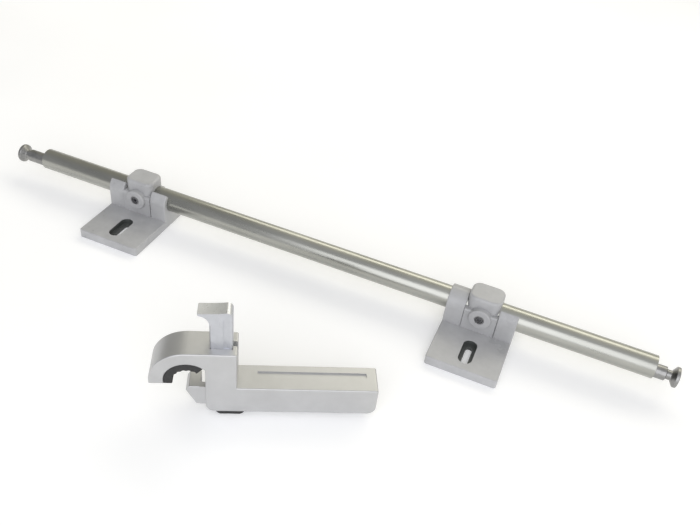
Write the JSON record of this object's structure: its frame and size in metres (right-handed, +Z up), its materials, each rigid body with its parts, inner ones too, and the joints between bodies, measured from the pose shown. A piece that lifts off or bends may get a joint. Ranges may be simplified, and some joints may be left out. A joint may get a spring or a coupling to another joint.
{
  "type": "door security bar",
  "caption": "Tube bar in two slotted brackets with telescoping twist-locked headed rods at its ends, and a loose hook clamp with a jaw worked by a thumb slider.",
  "frame": {"origin": "middle of the footprint of the bar and its loose clamp, on the surface the plates lie on", "axes": "+X along the bar towards its right end, -Y towards the slotted front edges of the plates, +Z up off the mounting surface"},
  "size_m": [0.817, 0.281, 0.123],
  "materials": {
    "tube_chrome": "polished, with faint lengthwise draw lines",
    "rod_steel": "satin, lightly brushed",
    "bracket_plastic": "smooth grey moulding, slightly translucent at the edges",
    "screw_steel": "zinc plated",
    "insert_steel": "machined",
    "cam_nylon": "moulded",
    "clamp_alloy": "fine satin casting",
    "slider_alloy": "polished extrusion",
    "liner_rubber": "matt black",
    "spring_steel": "drawn wire"
  },
  "bodies": {
    "bar": {"outer_tube": "tube_chrome"},
    "left_bracket": {"left_bracket_base": "bracket_plastic", "left_clamp_cap": "bracket_plastic", "left_cap_screws": "screw_steel", "left_screw_insert": "insert_steel"},
    "left_pad": {"left_pressure_pad": "cam_nylon"},
    "left_set_screw": {"left_clamp_screw": "screw_steel"},
    "left_rod_cam": {"left_cam": "cam_nylon"},
    "left_rod": {"left_inner_rod": "rod_steel", "left_rod_head": "rod_steel", "left_cam_washer": "screw_steel", "left_cam_screw": "screw_steel"},
    "right_bracket": {"right_bracket_base": "bracket_plastic", "right_clamp_cap": "bracket_plastic", "right_cap_screws": "screw_steel", "right_screw_insert": "insert_steel"},
    "right_pad": {"right_pressure_pad": "cam_nylon"},
    "right_set_screw": {"right_clamp_screw": "screw_steel"},
    "right_rod_cam": {"right_cam": "cam_nylon"},
    "right_rod": {"right_inner_rod": "rod_steel", "right_rod_head": "rod_steel", "right_cam_washer": "screw_steel", "right_cam_screw": "screw_steel"},
    "lock_clamp": {"lock_clamp_body": "clamp_alloy", "hook_liner": "liner_rubber", "rubber_foot": "liner_rubber", "slider_spring": "spring_steel"},
    "thumb_slide": {"thumb_slider": "slider_alloy"},
    "jaw": {"wedge_jaw": "clamp_alloy", "jaw_pin": "screw_steel"}
  },
  "joints": [
    {"name": "left_bracket_slide", "type": "slide", "parent": "bar", "child": "left_bracket", "axis": [1, 0, 0], "range_m": [-0.095, 0.18]},
    {"name": "left_pad_advance", "type": "slide", "parent": "left_bracket", "child": "left_pad", "axis": [0, -1, 0], "range_m": [0, 0.00104]},
    {"name": "left_screw_turn", "type": "hinge", "parent": "left_pad", "child": "left_set_screw", "pos_m": [-0.2259, 0.09699, 0.0306], "axis": [0, -1, 0], "range_deg": [0, 300]},
    {"name": "left_rod_extend", "type": "slide", "parent": "bar", "child": "left_rod_cam", "axis": [-1, 0, 0], "range_m": [-0.032, 0.055]},
    {"name": "left_rod_twist", "type": "hinge", "parent": "left_rod_cam", "child": "left_rod", "pos_m": [-0.2575, 0.11849, 0.0267], "axis": [-1, 0, 0], "range_deg": [0, 180]},
    {"name": "right_bracket_slide", "type": "slide", "parent": "bar", "child": "right_bracket", "axis": [1, 0, 0], "range_m": [-0.14, 0.135]},
    {"name": "right_pad_advance", "type": "slide", "parent": "right_bracket", "child": "right_pad", "axis": [0, -1, 0], "range_m": [0, 0.00104]},
    {"name": "right_screw_turn", "type": "hinge", "parent": "right_pad", "child": "right_set_screw", "pos_m": [0.2012, 0.09699, 0.0306], "axis": [0, -1, 0], "range_deg": [0, 300]},
    {"name": "right_rod_extend", "type": "slide", "parent": "bar", "child": "right_rod_cam", "axis": [1, 0, 0], "range_m": [-0.017, 0.055]},
    {"name": "right_rod_twist", "type": "hinge", "parent": "right_rod_cam", "child": "right_rod", "pos_m": [0.2725, 0.11849, 0.0267], "axis": [1, 0, 0], "range_deg": [0, 180]},
    {"name": "lock_clamp_lift", "type": "slide", "parent": "bar", "child": "lock_clamp", "axis": [0, 0, 1], "range_m": [0, 0.15]},
    {"name": "thumb_slider_press", "type": "slide", "parent": "lock_clamp", "child": "thumb_slide", "axis": [0, 0, -1], "range_m": [0, 0.012], "stiffness_N_per_m": 500, "springref_m": -0.008, "deforming": ["slider_spring"]},
    {"name": "jaw_open", "type": "slide", "parent": "lock_clamp", "child": "jaw", "axis": [0.8988, 0.4384, 0], "range_m": [0, 0.009]}
  ],
  "couplings": [
    {"joint": "left_screw_turn", "follows": "left_pad_advance", "rad_per_m": 5026.5},
    {"joint": "right_screw_turn", "follows": "right_pad_advance", "rad_per_m": 5026.5},
    {"joint": "jaw_open", "follows": "thumb_slider_press", "ratio": 0.75}
  ]
}
